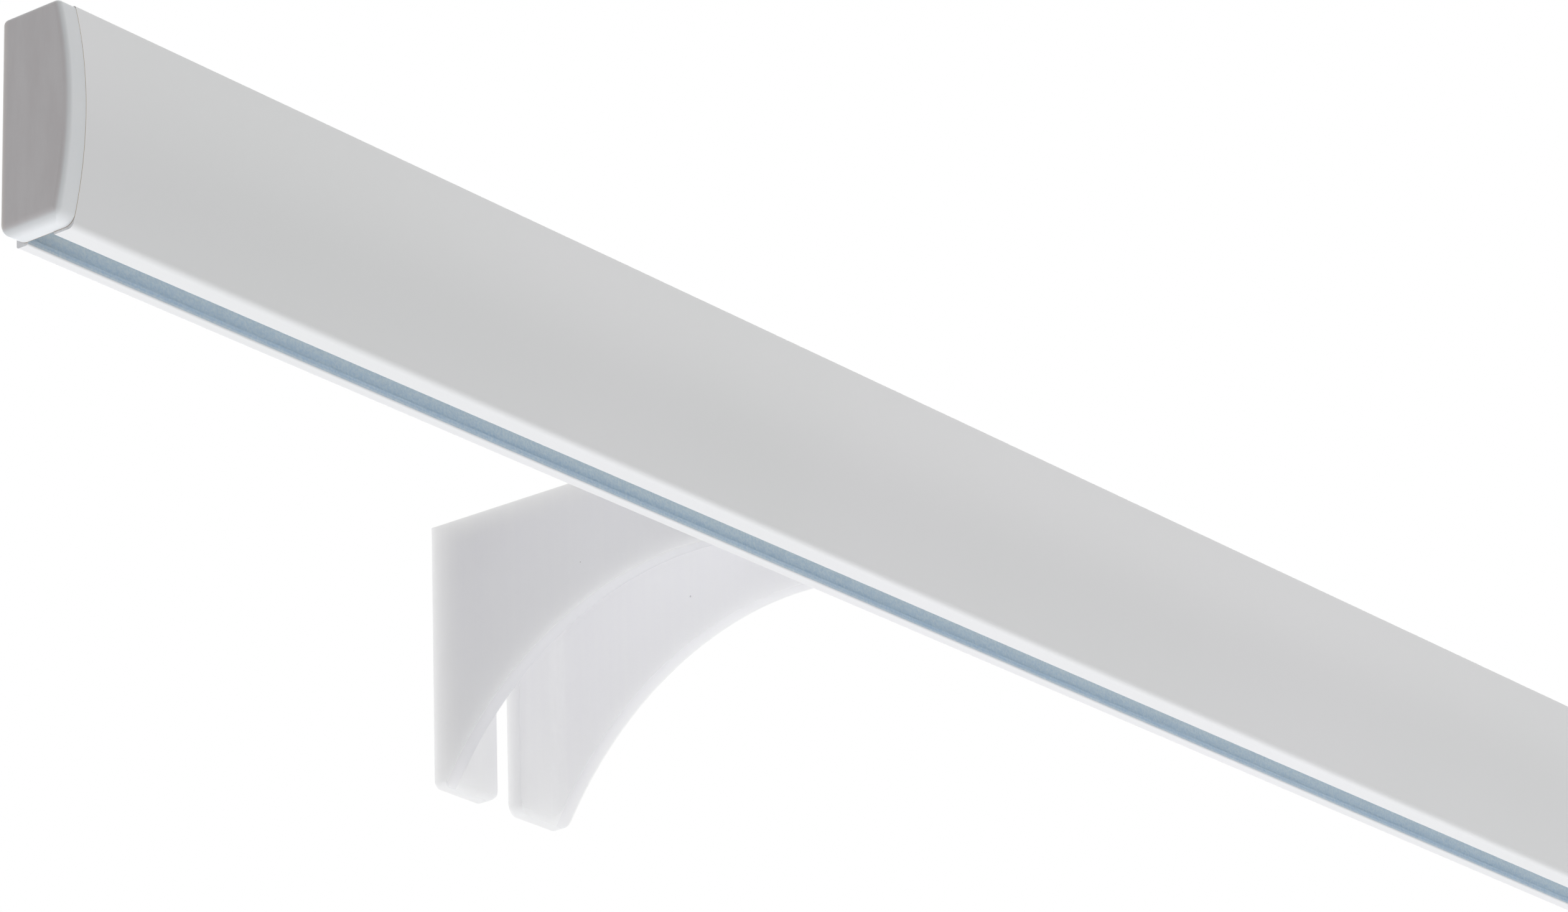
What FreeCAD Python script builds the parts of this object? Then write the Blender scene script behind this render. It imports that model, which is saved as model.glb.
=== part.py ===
import FreeCAD, Part
import os
import re

import Sketcher
from FreeCAD import Placement, Rotation, Vector

# Wall-fixed curtain track: an extruded rail with a glider channel, two end caps,
# two moulded corbel brackets that clamp into the rail's back groove, and gliders.
#
# Frame, in millimetres: +X runs along the rail, +Y points into the wall, +Z is up.
# The origin is the seat of the left bracket's wall screw: the centre of the round
# top end of its screw slot, on the wall plane, level with the rail's underside.

GLIDER_COUNT = 10

SIZES = [
    ("rail_length", 1200.0, "cut length of the rail"),
    ("rail_height", 40.0, "height of the rail's section"),
    ("rail_depth", 15.5, "depth of the section at its fullest"),
    ("bulge_height", 20.2, "height of the fullest point of the front"),
    ("front_radius", 74.0, "radius of the convex front"),
    ("rail_wall", 1.2, "wall of the extrusion"),
    ("lip_thick", 1.3, "thickness of the two lips beside the slot"),
    ("slot_back", 2.5, "from the rail's back to the slot"),
    ("slot_width", 5.9, "width of the glider slot"),
    ("channel_height", 6.8, "clear height above the lips"),
    ("groove_mouth", 6.2, "opening of the back groove"),
    ("groove_inner", 9.0, "height of the groove behind its mouth"),
    ("groove_depth", 3.5, "depth of the groove behind its mouth"),
    ("rail_round", 0.5, "rounding of the rail's long outer edges"),
    ("lip_round", 1.2, "rounding where the front turns into the underside"),
    ("slot_round", 0.3, "rounding of the slot's lower edges"),
    ("cap_thick", 4.3, "thickness of an end cap's plate"),
    ("cap_inset", 0.5, "step from the rail's underside up to the cap"),
    ("cap_corner", 2.4, "radius of the cap's two lower corners"),
    ("cap_round", 1.2, "rounding of the cap's outer edge"),
    ("sweep_radius", 2.2, "radius of the soft sweep under the cap's face"),
    ("plug_length", 12.0, "how far the cap's plug reaches into the rail"),
    ("plug_play", 0.25, "clearance round the plug"),
    ("plug_wall", 1.5, "wall of the hollow plug"),
    ("reach", 70.0, "from the wall to the rail's back"),
    ("bracket_inset", 200.0, "from the rail's end to a bracket's middle"),
    ("bracket_width", 35.6, "width of a bracket at the wall"),
    ("nose_width", 33.2, "width of a bracket at the rail"),
    ("bracket_rise", 23.3, "bracket's top above the rail's underside"),
    ("bracket_drop", 29.2, "bracket's foot below the rail's underside"),
    ("back_plate", 3.2, "thickness of the plate on the wall"),
    ("side_plate", 3.3, "thickness of the two side plates"),
    ("top_web", 2.6, "thickness of the web across the top"),
    ("nose_web", 3.0, "thickness of the web at the rail"),
    ("arc_radius", 68.9, "radius of the concave lower edge"),
    ("arc_top", 3.6, "top of that arc above the rail's underside"),
    ("arc_offset", 8.8, "from the rail's back to the arc's top point"),
    ("wall_slot_width", 6.8, "width of the wall screw's slot"),
    ("tool_bore", 6.5, "diameter of the screwdriver hole"),
    ("foot_round", 1.6, "rounding of the bracket's foot"),
    ("mouth_round", 2.4, "rounding at the slot's open end"),
    ("inner_round", 2.0, "fillet between back plate and side plates"),
    ("key_depth", 0.9, "how far the nose's key enters the groove"),
    ("key_length", 20.0, "length of that key along the rail"),
    ("key_play", 0.15, "clearance above and below the key"),
    ("screw_size", 4.0, "diameter of the clamp screw"),
    ("screw_length", 8.0, "length of the clamp screw under its head"),
    ("head_size", 8.0, "diameter of the screw head"),
    ("head_height", 2.6, "height of the screw head"),
    ("head_bevel", 0.9, "bevel of the pan head"),
    ("recess_width", 1.1, "width of the cross recess"),
    ("recess_span", 4.4, "length of each arm of the cross recess"),
    ("recess_depth", 1.5, "depth of the cross recess"),
    ("screw_play", 0.25, "clearance round the screw in plate and washer"),
    ("thread_play", 0.05, "clearance of the plain bore that stands for a thread"),
    ("washer_size", 9.0, "diameter of the washer"),
    ("washer_thick", 0.8, "thickness of the washer"),
    ("nut_thick", 2.8, "thickness of the square nut"),
    ("nut_play", 0.3, "clearance above and below the nut"),
    ("nut_chamfer", 0.5, "chamfer of the nut's corners"),
    ("glider_length", 9.0, "length of a glider along the rail"),
    ("head_thick", 2.2, "thickness of a glider's head"),
    ("glider_seat", 0.2, "height of a glider's head above the lips"),
    ("glider_play", 0.3, "clearance beside a glider's head"),
    ("neck_width", 4.8, "width of a glider's neck across the slot"),
    ("neck_length", 6.0, "length of a glider's neck along the rail"),
    ("eye_drop", 6.4, "from the rail's underside down to the eye"),
    ("eye_radius", 2.2, "radius of the hook eye"),
    ("ring_radius", 4.2, "outer radius of the eye's ring"),
    ("ring_thick", 2.6, "thickness of the eye's ring"),
    ("glider_bevel", 0.8, "bevel of a glider's leading edges"),
    ("park_gap", 0.3, "gap between parked gliders, and to the cap"),
    ("cut_over", 1.0, "how far a cut runs past the face that it starts from"),
]

doc = FreeCAD.newDocument("curtain_track")
sheet = doc.addObject("Spreadsheet::Sheet", "sizes")
for row, (alias, number, meaning) in enumerate(SIZES, start=1):
    sheet.set("A%d" % row, meaning)
    sheet.set("B%d" % row, str(number))
    sheet.setAlias("B%d" % row, alias)
doc.recompute()

ALIASES = {alias for alias, number, meaning in SIZES}
parts = []


def cells(text):
    """The expression text with each size's name pointed at its cell."""
    def point(match):
        word = match.group(0)
        return "sizes." + word if word in ALIASES else word
    return re.sub(r"[a-z_]+", point, text)


def bind(thing, prop, text):
    """Ties a property of an object to an expression of sizes."""
    thing.setExpression(prop, cells(text))


def size(text):
    """The present value of an expression of sizes."""
    return float(sheet.evalExpression(cells(text)))


# What several pieces share

WEB_TOP = "(lip_thick + channel_height + rail_wall)"
GROOVE_AXIS = "(%s + groove_inner / 2)" % WEB_TOP
GROOVE_TOP = "(%s + groove_inner)" % WEB_TOP
SLOT_MIDDLE = "(slot_back + slot_width / 2)"
BORE_SIZE = "(screw_size + 2 * screw_play)"
SCREW_HEAD_SEAT = "(reach - nose_web - washer_thick)"
EYE_HEIGHT = "(0 - eye_drop)"


def front_depth(height, wall="0"):
    """Depth of the convex front at a height, or of its inner face behind a wall."""
    return ("(rail_depth - front_radius + sqrt((front_radius - %s)^2 - (%s - bulge_height)^2))"
            % (wall, height))


# Helpers for bodies and sketches

def new_body(label):
    body = doc.addObject("PartDesign::Body", label)
    body.Label = label
    parts.append(body)
    return body


def plane_of(body, role):
    return next(feature for feature in body.Origin.OriginFeatures if feature.Role == role)


def new_sketch(body, name, role, offset=None):
    """A sketch on one of the body's own planes, moved along the plane's normal by offset."""
    sketch = body.newObject("Sketcher::SketchObject", name)
    sketch.AttachmentSupport = [(plane_of(body, role), "")]
    sketch.MapMode = "FlatFace"
    if offset:
        bind(sketch, "AttachmentOffset.Base.z", offset)
    doc.recompute()
    return sketch


def tie_point(sketch, geometry, end, corner):
    """Holds one end of a line or arc at a corner given by two expressions."""
    for kind, axis, text in (("DistanceX", -2, corner[0]), ("DistanceY", -1, corner[1])):
        if text == "0":
            sketch.addConstraint(Sketcher.Constraint("PointOnObject", geometry, end, axis))
            continue
        row = sketch.addConstraint(Sketcher.Constraint(kind, -1, 1, geometry, end, size(text)))
        bind(sketch, "Constraints[%d]" % row, text)


def corner_vector(corner):
    return Vector(size(corner[0]), size(corner[1]), 0)


def outline(sketch, corners, via=None):
    """A closed loop through corners; via gives the point that an edge's arc passes through."""
    via = via or {}
    ends = []
    for index, corner in enumerate(corners):
        start = corner_vector(corner)
        finish = corner_vector(corners[(index + 1) % len(corners)])
        if index not in via:
            ends.append((sketch.addGeometry(Part.LineSegment(start, finish)), 1, 2))
            continue
        middle = corner_vector(via[index])
        clockwise = (middle - start).cross(finish - middle).z < 0
        first, last = (finish, start) if clockwise else (start, finish)
        arc = sketch.addGeometry(Part.Arc(first, middle, last))
        ends.append((arc, 2, 1) if clockwise else (arc, 1, 2))
        point = sketch.addGeometry(Part.Point(middle), True)
        tie_point(sketch, point, 1, via[index])
        sketch.addConstraint(Sketcher.Constraint("PointOnObject", point, 1, arc))
    for index, (geometry, first, last) in enumerate(ends):
        follower, its_first, its_last = ends[(index + 1) % len(ends)]
        sketch.addConstraint(Sketcher.Constraint("Coincident", geometry, last, follower, its_first))
        tie_point(sketch, geometry, first, corners[index])
    return sketch


def rectangle(sketch, left, right, low, high):
    return outline(sketch, [(left, low), (right, low), (right, high), (left, high)])


def circle(sketch, across, up, radius):
    geometry = sketch.addGeometry(Part.Circle(Vector(size(across), size(up), 0), Vector(0, 0, 1), size(radius)))
    tie_point(sketch, geometry, 3, (across, up))
    row = sketch.addConstraint(Sketcher.Constraint("Radius", geometry, size(radius)))
    bind(sketch, "Constraints[%d]" % row, radius)
    return sketch


def pad(body, name, sketch, length, midplane=False, reverse=False):
    feature = body.newObject("PartDesign::Pad", name)
    feature.Profile = sketch
    feature.Midplane = midplane
    feature.Reversed = reverse
    bind(feature, "Length", length)
    doc.recompute()
    return feature


def pocket(body, name, sketch, length=None, reverse=False):
    """Cuts by a length, or right through both ways where none is given."""
    before = body.Shape.Volume
    feature = body.newObject("PartDesign::Pocket", name)
    feature.Profile = sketch
    if length:
        feature.Reversed = reverse
        bind(feature, "Length", length)
    else:
        feature.Type = "ThroughAll"
        feature.Midplane = True
    doc.recompute()
    if body.Shape.Volume > before - 1e-3:
        raise RuntimeError("%s in %s cuts nothing" % (name, body.Label))
    return feature


def edges_where(feature, test):
    return ["Edge%d" % (index + 1) for index, edge in enumerate(feature.Shape.Edges) if test(edge)]


def dress(body, name, kind, amount, test):
    """Rounds or chamfers the edges of the body's tip that pass the test."""
    base = body.Tip
    names = edges_where(base, test)
    if not names:
        raise RuntimeError("%s in %s finds no edge" % (name, body.Label))
    feature = body.newObject("PartDesign::" + kind, name)
    feature.Base = (base, names)
    bind(feature, "Radius" if kind == "Fillet" else "Size", amount)
    doc.recompute()
    if "Invalid" in feature.State:
        raise RuntimeError("%s in %s can't be made" % (name, body.Label))
    return feature


def place(thing, across="0", deep="0", up="0", turn=None):
    """Puts a piece at a place given by expressions, turned first if asked."""
    if turn:
        thing.Placement = Placement(Vector(), turn)
    for axis, text in (("x", across), ("y", deep), ("z", up)):
        if text != "0":
            bind(thing, "Placement.Base." + axis, text)


def near(number, other, tolerance=0.01):
    return abs(number - other) < tolerance


def along(edge, axis):
    """True for a straight edge that runs along X, Y or Z."""
    if not isinstance(edge.Curve, (Part.Line, Part.LineSegment)):
        return False
    return abs(getattr(edge.tangentAt(edge.FirstParameter), axis)) > 0.999


# The rail

def make_rail():
    body = new_body("rail")
    profile = new_sketch(body, "rail_profile", "YZ_Plane")
    outline(profile,
            [("0", "0"), ("0", "rail_height"),
             ("0 - " + front_depth("rail_height"), "rail_height"),
             ("0 - " + front_depth("0"), "0")],
            via={2: ("0 - rail_depth", "bulge_height")})
    pad(body, "rail_pad", profile, "rail_length")

    channel = new_sketch(body, "channel_profile", "YZ_Plane")
    roof = "(lip_thick + channel_height)"
    outline(channel,
            [("0 - rail_wall", "lip_thick"), ("0 - rail_wall", roof),
             ("0 - " + front_depth(roof, "rail_wall"), roof),
             ("0 - " + front_depth("lip_thick", "rail_wall"), "lip_thick")])
    pocket(body, "channel", channel)

    slot = new_sketch(body, "slot_profile", "YZ_Plane")
    rectangle(slot, "0 - slot_back - slot_width", "0 - slot_back", "0 - cut_over", "lip_thick + cut_over")
    pocket(body, "slot", slot)

    groove = new_sketch(body, "groove_profile", "YZ_Plane")
    rectangle(groove, "0 - rail_wall - groove_depth", "0 - rail_wall", WEB_TOP, GROOVE_TOP)
    pocket(body, "groove", groove)

    mouth = new_sketch(body, "groove_mouth_profile", "YZ_Plane")
    rectangle(mouth, "0 - rail_wall - cut_over", "cut_over",
              GROOVE_AXIS + " - groove_mouth / 2", GROOVE_AXIS + " + groove_mouth / 2")
    pocket(body, "groove_opening", mouth)

    chamber = new_sketch(body, "chamber_profile", "YZ_Plane")
    ceiling = "(rail_height - rail_wall)"
    floor = "(%s + rail_wall)" % GROOVE_TOP
    groove_front = "0 - 2 * rail_wall - groove_depth"
    outline(chamber,
            [(groove_front, WEB_TOP), (groove_front, floor),
             ("0 - rail_wall", floor), ("0 - rail_wall", ceiling),
             ("0 - " + front_depth(ceiling, "rail_wall"), ceiling),
             ("0 - " + front_depth(WEB_TOP, "rail_wall"), WEB_TOP)],
            via={4: ("rail_wall - rail_depth", "bulge_height")})
    pocket(body, "chamber", chamber)

    height = size("rail_height")
    slot_front = -size("slot_back + slot_width")
    slot_rear = -size("slot_back")

    top_front = -size(front_depth("rail_height"))
    lower_front = -size(front_depth("0"))

    def outer(edge):
        middle = edge.CenterOfMass
        upper = near(middle.z, height) and (near(middle.y, 0) or near(middle.y, top_front))
        return along(edge, "x") and (upper or near(middle.z, 0) and near(middle.y, 0))

    def lower_lip(edge):
        return along(edge, "x") and near(edge.CenterOfMass.z, 0) and near(edge.CenterOfMass.y, lower_front)

    def slot_edge(edge):
        middle = edge.CenterOfMass
        return along(edge, "x") and near(middle.z, 0) and (near(middle.y, slot_front) or near(middle.y, slot_rear))

    dress(body, "rail_edges", "Fillet", "rail_round", outer)
    dress(body, "lip_edge", "Fillet", "lip_round", lower_lip)
    dress(body, "slot_edges", "Fillet", "slot_round", slot_edge)
    place(body, "0 - bracket_inset", "0 - reach")
    return body


# The end caps

def sideways(side, text):
    """The expression as it stands on the right, or mirrored for the left."""
    return text if side > 0 else "0 - (%s)" % text


def make_cap(label, end, side):
    """A cap with its plate outside the rail's end; side is -1 on the left, +1 on the right."""
    body = new_body(label)
    outside = side > 0
    plate = new_sketch(body, "plate_profile", "YZ_Plane")
    outline(plate,
            [("0", "cap_inset"), ("0", "rail_height"),
             ("0 - " + front_depth("rail_height"), "rail_height"),
             ("0 - " + front_depth("cap_inset"), "cap_inset")],
            via={2: ("0 - rail_depth", "bulge_height")})
    pad(body, "plate", plate, "cap_thick", reverse=not outside)
    height = size("rail_height")
    outermost = side * size("cap_thick")
    dress(body, "lower_corners", "Fillet", "cap_corner",
          lambda edge: along(edge, "x") and edge.CenterOfMass.z < height / 2)
    dress(body, "outer_edges", "Fillet", "cap_round",
          lambda edge: near(edge.CenterOfMass.x, outermost) and near(edge.BoundBox.XLength, 0)
          or along(edge, "x") and near(edge.CenterOfMass.z, height))

    sweep = new_sketch(body, "sweep_profile", "XZ_Plane")
    inner = sideways(side, "cap_thick - sweep_radius")
    face = sideways(side, "cap_thick")
    beyond = sideways(side, "cap_thick + cut_over")
    halfway = "sweep_radius * (1 - sqrt(0.5))"
    sweep_top = "cap_inset + sweep_radius"
    outline(sweep,
            [(inner, "cap_inset"), (face, sweep_top), (beyond, sweep_top),
             (beyond, "cap_inset - cut_over"), (inner, "cap_inset - cut_over")],
            via={0: (sideways(side, "cap_thick - " + halfway), "cap_inset + " + halfway)})
    pocket(body, "sweep", sweep)

    low = "(%s + rail_wall + plug_play)" % GROOVE_TOP
    high = "(rail_height - rail_wall - plug_play)"
    plug = new_sketch(body, "plug_profile", "YZ_Plane")
    outline(plug,
            [("0 - rail_wall - plug_play", low), ("0 - rail_wall - plug_play", high),
             ("plug_play - " + front_depth(high, "rail_wall"), high),
             ("plug_play - " + front_depth(low, "rail_wall"), low)])
    pad(body, "plug", plug, "plug_length", reverse=outside)

    hollow = new_sketch(body, "hollow_profile", "YZ_Plane")
    outline(hollow,
            [("0 - rail_wall - plug_play - plug_wall", low + " + plug_wall"),
             ("0 - rail_wall - plug_play - plug_wall", high + " - plug_wall"),
             ("plug_play + plug_wall - " + front_depth(high, "rail_wall"), high + " - plug_wall"),
             ("plug_play + plug_wall - " + front_depth(low, "rail_wall"), low + " + plug_wall")])
    pocket(body, "hollow", hollow, "plug_length", reverse=not outside)
    place(body, end, "0 - reach")
    return body


# The wall brackets

def bracket_block(body):
    """The outer form: it tapers from the wall to the rail, with a concave lower edge."""
    plan = new_sketch(body, "plan", "XY_Plane", "0 - bracket_drop")
    outline(plan,
            [("0 - bracket_width / 2", "0"), ("0 - nose_width / 2", "0 - reach"),
             ("nose_width / 2", "0 - reach"), ("bracket_width / 2", "0")])
    pad(body, "block", plan, "bracket_drop + bracket_rise")
    foot = -size("bracket_drop")
    middle = size("reach") / 2
    dress(body, "foot_edges", "Fillet", "foot_round",
          lambda edge: near(edge.CenterOfMass.z, foot) and near(edge.CenterOfMass.y, -middle))
    arc = new_sketch(body, "arc_profile", "YZ_Plane")
    circle(arc, "arc_offset - reach", "arc_top - arc_radius", "arc_radius")
    pocket(body, "concave_edge", arc)


def bracket_inside(body):
    """The space between the two side plates, open below."""
    inside = new_sketch(body, "inside_plan", "XY_Plane", "0 - bracket_drop")
    taper = "((bracket_width - nose_width) / 2 / reach)"
    rear = "(bracket_width / 2 - side_plate - %s * back_plate)" % taper
    front = "(nose_width / 2 - side_plate + %s * nose_web)" % taper
    outline(inside,
            [("0 - " + rear, "0 - back_plate"), ("0 - " + front, "nose_web - reach"),
             (front, "nose_web - reach"), (rear, "0 - back_plate")])
    pocket(body, "inside", inside, "bracket_drop + bracket_rise - top_web", reverse=True)
    plate = size("back_plate")
    dress(body, "inner_corners", "Fillet", "inner_round",
          lambda edge: along(edge, "z") and near(edge.CenterOfMass.y, -plate)
          and near(edge.BoundBox.YLength, 0))


def bracket_wall_slot(body):
    """The wall screw's slot: round at the top, open and flared at the foot."""
    slot = new_sketch(body, "wall_slot_profile", "XZ_Plane")
    half = "wall_slot_width / 2"
    wide = "(wall_slot_width / 2 + mouth_round)"
    flare = "(wall_slot_width / 2 + mouth_round * (1 - sqrt(0.5)))"
    foot = "0 - bracket_drop"
    flare_up = foot + " + mouth_round * (1 - sqrt(0.5))"
    outline(slot,
            [("0 - " + wide, foot + " - cut_over"), (wide, foot + " - cut_over"),
             (wide, foot), (half, foot + " + mouth_round"), (half, "0"),
             ("0 - " + half, "0"), ("0 - " + half, foot + " + mouth_round"), ("0 - " + wide, foot)],
            via={2: (flare, flare_up), 4: ("0", half), 6: ("0 - " + flare, flare_up)})
    pocket(body, "wall_slot", slot, "2 * back_plate", reverse=True)


def make_bracket(label, across):
    body = new_body(label)
    bracket_block(body)
    bracket_inside(body)
    bracket_wall_slot(body)

    tool = new_sketch(body, "tool_profile", "XZ_Plane")
    circle(tool, "0", GROOVE_AXIS, "tool_bore / 2")
    pocket(body, "tool_hole", tool, "2 * back_plate", reverse=True)

    key = new_sketch(body, "key_profile", "XZ_Plane", "reach")
    key_half = "(groove_mouth / 2 - key_play)"
    rectangle(key, "0 - key_length / 2", "key_length / 2",
              "%s - %s" % (GROOVE_AXIS, key_half), "%s + %s" % (GROOVE_AXIS, key_half))
    pad(body, "key", key, "key_depth")

    clamp = new_sketch(body, "clamp_profile", "XZ_Plane", "reach - 2 * nose_web")
    circle(clamp, "0", GROOVE_AXIS, BORE_SIZE + " / 2")
    pocket(body, "clamp_hole", clamp, "4 * nose_web", reverse=True)
    place(body, across)
    return body


# The clamp: screw, washer and square nut in the back groove

FACING_WALL = Rotation(Vector(1, 0, 0), -90)


def make_screw(label, across):
    """A pan-head screw; it is drawn standing on its head's seat, then laid along Y."""
    body = new_body(label)
    head = new_sketch(body, "head_profile", "XY_Plane")
    circle(head, "0", "0", "head_size / 2")
    pad(body, "head", head, "head_height")
    top = size("head_height")
    dress(body, "head_edge", "Chamfer", "head_bevel", lambda edge: near(edge.CenterOfMass.z, top))
    shank = new_sketch(body, "shank_profile", "XY_Plane")
    circle(shank, "0", "0", "screw_size / 2")
    pad(body, "shank", shank, "screw_length", reverse=True)
    for name, wide, tall in (("recess_across", "recess_span", "recess_width"),
                             ("recess_up", "recess_width", "recess_span")):
        arm = new_sketch(body, name + "_profile", "XY_Plane", "head_height")
        rectangle(arm, "0 - %s / 2" % wide, wide + " / 2", "0 - %s / 2" % tall, tall + " / 2")
        pocket(body, name, arm, "recess_depth")
    place(body, across, "0 - " + SCREW_HEAD_SEAT, GROOVE_AXIS, turn=FACING_WALL)
    return body


def make_washer(label, across):
    body = new_body(label)
    ring = new_sketch(body, "ring_profile", "XY_Plane")
    circle(ring, "0", "0", "washer_size / 2")
    circle(ring, "0", "0", BORE_SIZE + " / 2")
    pad(body, "ring", ring, "washer_thick", reverse=True)
    place(body, across, "0 - " + SCREW_HEAD_SEAT, GROOVE_AXIS, turn=FACING_WALL)
    return body


def make_nut(label, across):
    body = new_body(label)
    square = new_sketch(body, "square_profile", "XY_Plane")
    half = "(groove_inner / 2 - nut_play)"
    rectangle(square, "0 - " + half, half, "0 - " + half, half)
    pad(body, "square", square, "nut_thick", reverse=True)
    dress(body, "corners", "Chamfer", "nut_chamfer", lambda edge: along(edge, "z"))
    bore = new_sketch(body, "bore_profile", "XY_Plane")
    circle(bore, "0", "0", "screw_size / 2 + thread_play")
    pocket(body, "bore", bore)
    place(body, across, "0 - reach - rail_wall", GROOVE_AXIS, turn=FACING_WALL)
    return body


# The gliders

def make_glider(label, across):
    """A moulded glider: a head on the lips, a neck through the slot, a ring for the hook."""
    body = new_body(label)
    head_low = "(lip_thick + glider_seat)"
    head_half = "(%s - rail_wall - glider_play)" % SLOT_MIDDLE
    head = new_sketch(body, "head_profile", "YZ_Plane")
    rectangle(head, "0 - " + head_half, head_half, head_low, head_low + " + head_thick")
    pad(body, "head", head, "glider_length", midplane=True)
    half = size("glider_length / 2")
    dress(body, "leading_edges", "Chamfer", "glider_bevel",
          lambda edge: near(abs(edge.CenterOfMass.x), half))

    ring = new_sketch(body, "ring_profile", "XZ_Plane")
    circle(ring, "0", EYE_HEIGHT, "ring_radius")
    pad(body, "ring", ring, "ring_thick", midplane=True)

    neck = new_sketch(body, "neck_profile", "XZ_Plane")
    rectangle(neck, "0 - neck_length / 2", "neck_length / 2",
              EYE_HEIGHT + " + (eye_radius + ring_radius) / 2", head_low + " + head_thick / 2")
    pad(body, "neck", neck, "neck_width", midplane=True)
    neck_half = size("neck_width / 2")
    shoulder = size(EYE_HEIGHT + " + (eye_radius + ring_radius) / 2")
    dress(body, "neck_edges", "Chamfer", "glider_bevel / 2",
          lambda edge: along(edge, "z") and near(abs(edge.CenterOfMass.y), neck_half)
          and edge.BoundBox.ZMin < shoulder + 1)

    eye = new_sketch(body, "eye_profile", "XZ_Plane")
    circle(eye, "0", EYE_HEIGHT, "eye_radius")
    pocket(body, "eye", eye)
    place(body, across, "0 - reach - " + SLOT_MIDDLE)
    return body


def parked(number):
    """Where a parked glider stands; number 1 leads, and the last is by the right cap."""
    behind = GLIDER_COUNT - number
    return ("rail_length - bracket_inset - park_gap - glider_length / 2 - %d * (glider_length + park_gap)"
            % behind)


RAIL_RIGHT = "rail_length - bracket_inset"
BRACKET_PLACES = (("left", "0"), ("right", "rail_length - 2 * bracket_inset"))

make_rail()
make_cap("end_cap_left", "0 - bracket_inset", -1)
make_cap("end_cap_right", RAIL_RIGHT, 1)
for side_name, middle in BRACKET_PLACES:
    make_bracket("wall_bracket_" + side_name, middle)
    make_screw("clamp_screw_" + side_name, middle)
    make_washer("clamp_washer_" + side_name, middle)
    make_nut("groove_nut_" + side_name, middle)
for number in range(1, GLIDER_COUNT + 1):
    make_glider("glider_%02d" % number, parked(number))
doc.recompute()

for thing in doc.Objects:
    if "Invalid" in thing.State or "Error" in thing.State:
        raise RuntimeError("%s failed: %s" % (thing.Label, thing.State))
for piece in parts:
    if piece.Shape.isNull() or not piece.Shape.isValid():
        raise RuntimeError("%s has no valid shape" % piece.Label)

os.makedirs("parts", exist_ok=True)
for piece in parts:
    piece.Shape.exportStep("parts/%s.step" % piece.Label)
    print("%-22s solids %d  volume %10.1f mm3" % (piece.Label, len(piece.Shape.Solids), piece.Shape.Volume))
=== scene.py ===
import math

import bmesh
import bpy
from mathutils import Matrix, Vector

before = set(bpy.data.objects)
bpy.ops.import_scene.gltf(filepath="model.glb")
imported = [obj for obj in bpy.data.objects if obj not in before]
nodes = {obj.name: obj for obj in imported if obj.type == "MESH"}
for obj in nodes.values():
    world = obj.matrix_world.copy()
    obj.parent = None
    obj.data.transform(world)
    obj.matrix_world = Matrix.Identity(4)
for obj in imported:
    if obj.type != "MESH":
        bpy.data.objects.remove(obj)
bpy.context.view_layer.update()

# The dressed curtain track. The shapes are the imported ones, in metres:
# +X along the rail, +Y into the wall, +Z up. This script gives them their
# finishes, and sets the floor, the lights and the camera around them.

MM = 0.001

# Sizes that the finishes follow, in millimetres: the rail's section,
# the caps, and the brackets with the arc of their lower edge
REACH = 70.0
RAIL_HEIGHT = 40.0
RAIL_LEFT = -200.0
RAIL_RIGHT = 1000.0
FRONT_RADIUS = 74.0
FRONT_CENTRE_Y = -11.5
BULGE_HEIGHT = 20.2
CHANNEL_TOP = 8.1
CAP_THICK = 4.3
COAT_DEPTH = 0.24
BRACKET_MIDDLES = (0.0, 800.0)
BRACKET_HALF_WIDTH = 17.8
BRACKET_TAPER = 1.2 / REACH
SIDE_PLATE = 3.3
ARC_RADIUS = 68.9
ARC_CENTRE_Y = -61.2
ARC_CENTRE_Z = -65.3


# Shader maths

class Value:
    """A socket of a finish; arithmetic on it adds Math nodes."""

    def __init__(self, finish, socket):
        self.finish = finish
        self.socket = socket

    def maths(self, operation, *values):
        return self.finish.add("ShaderNodeMath", {"operation": operation}, dict(enumerate(values)))

    def __add__(self, other):
        return self.maths("ADD", self, other)

    def __sub__(self, other):
        return self.maths("SUBTRACT", self, other)

    def __rsub__(self, other):
        return self.maths("SUBTRACT", other, self)

    def __mul__(self, other):
        return self.maths("MULTIPLY", self, other)

    def __truediv__(self, other):
        return self.maths("DIVIDE", self, other)

    def __pow__(self, other):
        return self.maths("POWER", self, other)

    def __abs__(self):
        return self.maths("ABSOLUTE", self)

    __radd__ = __add__
    __rmul__ = __mul__

    def least(self, other):
        return self.maths("MINIMUM", self, other)

    def most(self, other):
        return self.maths("MAXIMUM", self, other)

    def rise(self, low, high):
        """0 below low, 1 above high, and smooth between them."""
        return self.finish.add("ShaderNodeMapRange", {"interpolation_type": "SMOOTHSTEP"},
                               {0: self, 1: low, 2: high, 3: 0.0, 4: 1.0})


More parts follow.
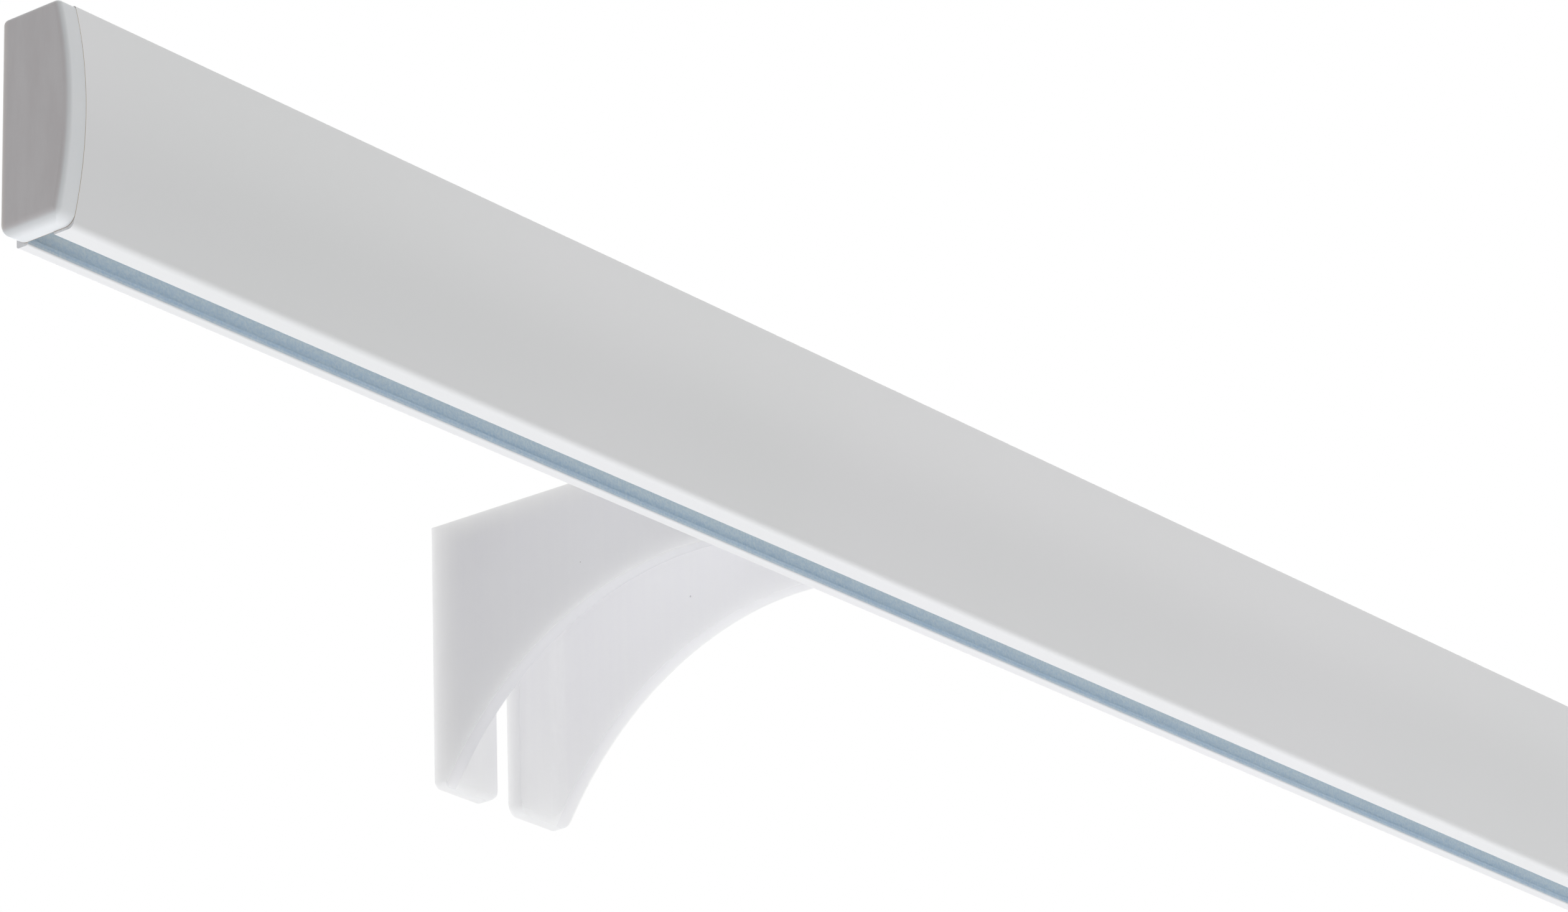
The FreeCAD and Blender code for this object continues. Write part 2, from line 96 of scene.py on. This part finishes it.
class Finish:
    """The nodes of one material or of the world."""

    def __init__(self, owner):
        owner.use_nodes = True
        self.owner = owner
        self.tree = owner.node_tree
        self.tree.nodes.clear()

    def add(self, kind, settings=None, sockets=None, out=0):
        """Adds a node with its settings and sockets, and gives its output, or several."""
        node = self.tree.nodes.new(kind)
        for name, value in (settings or {}).items():
            setattr(node, name, value)
        for name, value in (sockets or {}).items():
            if isinstance(value, Value):
                self.tree.links.new(value.socket, node.inputs[name])
            else:
                node.inputs[name].default_value = value
        if isinstance(out, tuple):
            return tuple(Value(self, node.outputs[name]) for name in out)
        return Value(self, node.outputs[out]) if len(node.outputs) else None

    def mix(self, share, first, second):
        """A colour between two colours."""
        return self.add("ShaderNodeMix", {"data_type": "RGBA", "clamp_factor": True},
                        {0: share, 6: first, 7: second}, out=2)

    def point(self):
        """Object coordinates, in metres."""
        return self.add("ShaderNodeTexCoord", out="Object")

    def millimetres(self, point):
        """The three parts of a point: along the rail, deep towards the wall, and up."""
        parts = self.add("ShaderNodeSeparateXYZ", sockets={0: point}, out=(0, 1, 2))
        return [part / MM for part in parts]

    def noise(self, point, scale, detail=2.0, roughness=0.5, stretch=None):
        """Soft noise of about 0 to 1; stretch scales each axis first."""
        if stretch:
            point = self.add("ShaderNodeMapping", sockets={"Vector": point, "Scale": stretch})
        return self.add("ShaderNodeTexNoise", sockets={"Vector": point, "Scale": scale, "Detail": detail,
                                                       "Roughness": roughness})

    def bump(self, height, depth, strength):
        """A normal from a height of 0 to 1 that stands for a depth in metres."""
        return self.add("ShaderNodeBump", sockets={"Height": height, "Distance": depth, "Strength": strength})

    def seen(self):
        """1 for what the camera sees, also in a reflection or through a clear piece."""
        camera_ray, glossy_ray, clear_ray = self.add(
            "ShaderNodeLightPath", out=("Is Camera Ray", "Is Glossy Ray", "Is Transmission Ray"))
        return camera_ray.most(glossy_ray).most(clear_ray)

    def surface(self, sockets):
        """Ends a material with one principled shader, and gives the material."""
        shader = self.add("ShaderNodeBsdfPrincipled", sockets=sockets)
        self.add("ShaderNodeOutputMaterial", sockets={"Surface": shader})
        return self.owner


def new_finish(name):
    return Finish(bpy.data.materials.new(name))


def colour(red, green, blue):
    """A display colour of 0 to 255 as the linear colour that shaders take."""

    def linear(part):
        part = part / 255.0
        return part / 12.92 if part <= 0.04045 else ((part + 0.055) / 1.055) ** 2.4

    return (linear(red), linear(green), linear(blue), 1.0)


# Finishes

def rail_finish():
    """White powder coat outside; bare aluminium in the channel, the groove and at the cut ends, with painted
    light on the channel's metal and a painted highlight line.
    """
    finish = new_finish("powder_coated_rail")
    point = finish.point()
    along, deep, up = finish.millimetres(point)
    # How far a point lies inside the nearest outer face, and whether it is on a cut end
    front = FRONT_RADIUS - ((deep - FRONT_CENTRE_Y) ** 2.0 + (up - BULGE_HEIGHT) ** 2.0) ** 0.5
    back = -REACH - deep
    depth = front.least(back).least(up).least(RAIL_HEIGHT - up)
    left_end = 1.0 - along.rise(RAIL_LEFT + 0.02, RAIL_LEFT + 0.06)
    right_end = along.rise(RAIL_RIGHT - 0.06, RAIL_RIGHT - 0.02)
    ends = left_end.most(right_end)
    bare = depth.rise(COAT_DEPTH, COAT_DEPTH + 0.1)
    # Painted highlight: a thin lighter line on the bare metal, 0.5 mm in from the outer faces.
    painted_highlight_line = 1.0 - abs(depth - 0.5).rise(0.08, 0.2)

    cloud = finish.noise(point, 9.0, 2.0)
    white = finish.mix(cloud.rise(0.3, 0.7), colour(240, 241, 241), colour(243, 243, 244))
    speck = finish.noise(point, 1900.0, 3.0, 0.7).rise(0.3, 0.72)
    lines = finish.noise(point, 700.0, 2.0, 0.5, stretch=(0.02, 1.0, 1.0)).rise(0.3, 0.7)
    # Painted light: the bare metal is darker low on the lip's side and paler higher up in the channel. Its
    # colours run to near white, standing in for light inside the channel.
    channel_painted_light = up.rise(0.3, 5.0)
    flecks_and_painted_light = speck * 0.4 + lines * 0.14 + channel_painted_light * 0.56 + painted_highlight_line * 0.35
    cool = finish.mix(flecks_and_painted_light, colour(191, 214, 235), colour(248, 254, 255))
    plain = finish.mix(flecks_and_painted_light, colour(176, 180, 184), colour(224, 227, 230))
    metal = finish.mix(up.rise(CHANNEL_TOP, CHANNEL_TOP + 0.6), cool, plain)
    sawn = finish.noise(point, 900.0, 2.0, 0.5, stretch=(1.0, 1.0, 0.04)).rise(0.3, 0.7)
    cut = finish.mix(sawn, colour(232, 232, 234), colour(246, 246, 248))
    shade = finish.mix(ends, finish.mix(bare, white, metal), cut)
    peel = finish.noise(point, 700.0, 2.0, 0.4)
    raw = bare.most(ends)
    height = peel * (1.0 - raw) + (speck * 0.6 + lines * 0.4) * raw * (1.0 - ends) + sawn * ends
    return finish.surface({
        "Base Color": shade,
        "Metallic": raw * 0.1,
        "Roughness": 0.36 + peel * 0.06 + raw * 0.12,
        "Normal": finish.bump(height, 0.00003, 0.5),
    })


def cap_finish():
    """Satin moulded plastic, finely grained, with a thin painted shadow line where the cap meets the rail;
    the end face is painted darker as painted shade, with a painted highlight along its back edge.
    """
    finish = new_finish("cap_plastic")
    point = finish.point()
    along, deep = finish.millimetres(point)[:2]
    # How far a point lies out from the rail's end
    outward = (RAIL_LEFT - along).most(along - RAIL_RIGHT)
    # Painted shadow: a thin brown line where the cap meets the rail, standing in for the shade in the joint.
    seam_shadow_line = 1.0 - abs(outward).rise(0.06, 0.14)
    face = outward.rise(CAP_THICK - 0.5, CAP_THICK - 0.05)
    flow = finish.noise(point, 260.0, 3.0, 0.6, stretch=(1.0, 1.0, 0.25)).rise(0.25, 0.75)
    smooth = finish.mix(flow, colour(240, 243, 245), colour(243, 245, 247))
    # Painted shade: the outer end face is painted darker and warmer than the cap's sides.
    end_face_painted_shade = finish.mix(flow, colour(223, 219, 220), colour(230, 227, 228))
    # Painted highlight: a light warm band along the end face's back edge.
    back = -REACH - deep
    face_shade_and_rim_highlight = finish.mix(1.0 - back.rise(0.0, 2.0), end_face_painted_shade, colour(244, 238, 233))
    body = finish.mix(face, smooth, face_shade_and_rim_highlight)
    grain = finish.noise(point, 5200.0, 2.0, 0.6)
    return finish.surface({
        "Base Color": finish.mix(seam_shadow_line, body, colour(168, 148, 122)),
        "Roughness": 0.5 + grain * 0.1,
        "Normal": finish.bump(grain, 0.00002, 0.35),
        "Subsurface Weight": 0.15,
        "Subsurface Radius": (1.0, 0.9, 0.85),
        "Subsurface Scale": 0.0015,
    })


def bracket_finish():
    """Slightly translucent white plastic; the narrow lower edges are painted greyer as painted shade, with a
    painted highlight along their rim.
    """
    finish = new_finish("bracket_plastic")
    point = finish.point()
    along, deep, up = finish.millimetres(point)
    # Distances from the lower edge's arc, from a side plate's outer face, and into that plate
    left, right = BRACKET_MIDDLES
    across = abs(along - left).least(abs(along - right))
    below = abs(((deep - ARC_CENTRE_Y) ** 2.0 + (up - ARC_CENTRE_Z) ** 2.0) ** 0.5 - ARC_RADIUS)
    beside = BRACKET_HALF_WIDTH + deep * BRACKET_TAPER - across
    inside = beside.least(SIDE_PLATE - beside)
    # Painted shade: the narrow faces along the lower arc are painted greyer than the plates.
    edge = (1.0 - below.rise(0.2, 0.5)) * inside.rise(0.02, 0.22)
    # Painted highlight: a thin lighter line along the arc's edge at a side plate's outer face.
    rim = (1.0 - below.rise(0.1, 0.4)) * (1.0 - abs(beside).rise(0.15, 0.4))

    cloud = finish.noise(point, 38.0, 3.0, 0.55).rise(0.3, 0.7)
    flow = finish.noise(point, 420.0, 2.0, 0.5, stretch=(1.0, 1.0, 0.03)).rise(0.3, 0.7)
    body = finish.mix(cloud * 0.6 + flow * 0.4, colour(247, 246, 252), colour(252, 252, 255))
    edged = finish.mix(edge, body, colour(235, 234, 240))
    rimmed = finish.mix(rim * 0.6, edged, colour(252, 252, 255))
    spot = finish.add("ShaderNodeTexVoronoi", sockets={"Vector": point, "Scale": 97.0})
    specks = 1.0 - spot.rise(0.018, 0.028)
    grain = finish.noise(point, 3800.0, 2.0, 0.5)
    return finish.surface({
        "Base Color": finish.mix(specks * 0.6, rimmed, colour(120, 118, 116)),
        "Roughness": 0.38 + grain * 0.08,
        "Normal": finish.bump(grain, 0.00002, 0.25),
        "Subsurface Weight": 1.0,
        "Subsurface Radius": (1.0, 0.98, 1.0),
        "Subsurface Scale": 0.02,
    })


def glider_finish():
    """Smooth white slide plastic, a little waxy."""
    finish = new_finish("glider_plastic")
    point = finish.point()
    cloud = finish.noise(point, 160.0, 2.0, 0.5)
    grain = finish.noise(point, 2600.0, 2.0, 0.5)
    return finish.surface({
        "Base Color": finish.mix(cloud.rise(0.3, 0.7), colour(240, 240, 236), colour(245, 245, 243)),
        "Roughness": 0.24 + grain * 0.08,
        "Normal": finish.bump(grain, 0.00002, 0.2),
        "Subsurface Weight": 0.3,
        "Subsurface Radius": (1.0, 0.95, 0.9),
        "Subsurface Scale": 0.0015,
    })


def zinc_finish():
    """Bright zinc plate over steel, with a faint blue and yellow bloom."""
    finish = new_finish("zinc_plate")
    point = finish.point()
    bloom = finish.noise(point, 240.0, 2.0, 0.5)
    turned = finish.noise(point, 2400.0, 3.0, 0.6)
    return finish.surface({
        "Base Color": finish.mix(bloom.rise(0.3, 0.7), colour(196, 202, 212), colour(214, 213, 206)),
        "Metallic": 1.0,
        "Roughness": 0.26 + turned * 0.2,
        "Normal": finish.bump(turned, 0.00002, 0.3),
    })


FINISH_BY_START = {
    "rail": rail_finish(),
    "end_cap": cap_finish(),
    "wall_bracket": bracket_finish(),
    "glider": glider_finish(),
    ("clamp", "groove_nut"): zinc_finish(),
}


for name, piece in nodes.items():
    material = next(material for start, material in FINISH_BY_START.items() if name.startswith(start))
    for place in piece.material_slots:
        place.material = material
    if not piece.material_slots:
        piece.data.materials.append(material)


# Stage: floor, white background and lamps

FLOOR_MIDDLE = (0.4, 0.0, -6.0)
FLOOR_SIZE = 120.0
FLOOR_GLOW = 0.25
WORLD_LEVEL = 0.353
WHITE = (1.0, 1.0, 1.0, 1.0)

# The camera, solved from the rail's straight edges in the photo

CAMERA_LENS = 151.5
CAMERA_PLACE = (-0.8995, -0.7691, -0.4441)
CAMERA_RIGHT = Vector((0.62261, -0.78189, -0.03166))
CAMERA_UP = Vector((-0.27914, -0.25970, 0.92447))
CAMERA_AHEAD = Vector((0.73105, 0.56674, 0.37995))


def make_floor():
    """A plain pale floor, which shows paler to the camera than its light alone makes it."""
    shape = bmesh.new()
    bmesh.ops.create_grid(shape, x_segments=1, y_segments=1, size=FLOOR_SIZE / 2)
    bmesh.ops.translate(shape, verts=shape.verts, vec=FLOOR_MIDDLE)
    mesh = bpy.data.meshes.new("floor")
    shape.to_mesh(mesh)
    shape.free()
    floor = bpy.data.objects.new("floor", mesh)
    bpy.context.scene.collection.objects.link(floor)
    finish = new_finish("floor_paint")
    cloud = finish.noise(finish.point(), 1.5, 2.0).rise(0.3, 0.7)
    paint = finish.add("ShaderNodeBsdfPrincipled", sockets={
        "Base Color": finish.mix(cloud, colour(240, 240, 240), colour(242, 242, 242)),
        "Roughness": 0.8,
    })
    pale = finish.add("ShaderNodeEmission", sockets={"Color": WHITE, "Strength": 1.0})
    both = finish.add("ShaderNodeMixShader", sockets={0: finish.seen() * FLOOR_GLOW, 1: paint, 2: pale})
    finish.add("ShaderNodeOutputMaterial", sockets={"Surface": both})
    mesh.materials.append(finish.owner)


def make_world():
    """Soft even light all round, behind a background that the camera sees as white."""
    world = bpy.data.worlds.new("studio")
    bpy.context.scene.world = world
    finish = Finish(world)
    light = finish.add("ShaderNodeBackground", sockets={"Color": WHITE, "Strength": WORLD_LEVEL})
    white = finish.add("ShaderNodeBackground", sockets={"Color": WHITE, "Strength": 1.0})
    both = finish.add("ShaderNodeMixShader", sockets={0: finish.seen(), 1: light, 2: white})
    finish.add("ShaderNodeOutputWorld", sockets={"Surface": both})


def lamp(name, place, target, wide, tall, level, tint=(1.0, 1.0, 1.0)):
    """A soft panel; level is its brightness, where 1 is white."""
    data = bpy.data.lights.new(name, "AREA")
    data.shape = "RECTANGLE"
    data.size = wide
    data.size_y = tall
    data.energy = level * math.pi * wide * tall
    data.color = tint
    thing = bpy.data.objects.new(name, data)
    thing.location = place
    thing.rotation_euler = (Vector(target) - Vector(place)).to_track_quat("-Z", "Y").to_euler()
    thing.visible_camera = False
    bpy.context.scene.collection.objects.link(thing)


def make_camera():
    data = bpy.data.cameras.new("camera")
    data.sensor_width = 36.0
    data.lens = CAMERA_LENS
    data.clip_start = 0.05
    data.clip_end = 200.0
    camera = bpy.data.objects.new("camera", data)
    turn = Matrix((CAMERA_RIGHT, CAMERA_UP, -CAMERA_AHEAD)).transposed()
    camera.matrix_world = Matrix.Translation(CAMERA_PLACE) @ turn.to_4x4()
    bpy.context.scene.collection.objects.link(camera)
    bpy.context.scene.camera = camera


make_floor()
make_world()
make_camera()
lamp("under", (0.3, 0.15, -0.86), (0.3, -0.05, 0.0), 2.6, 1.4, 0.82, tint=(0.96, 0.97, 1.0))
lamp("high_front", (1.3, -1.3, 1.5), (0.5, -0.08, 0.0), 1.8, 1.4, 1.25)
lamp("low_front", (0.45, -0.9, -0.86), (0.4, -0.08, 0.0), 1.8, 1.2, 0.75)
lamp("far_right", (1.8, 1.0, 0.9), (0.2, 0.0, 0.0), 1.4, 1.4, 1.47)
lamp("wall_side", (0.3, 1.3, -0.1), (0.1, -0.02, 0.0), 1.6, 1.4, 1.03)
lamp("above", (0.2, 0.2, 1.5), (0.2, 0.0, 0.0), 1.8, 1.4, 0.8)

bpy.context.scene.view_settings.view_transform = "Standard"
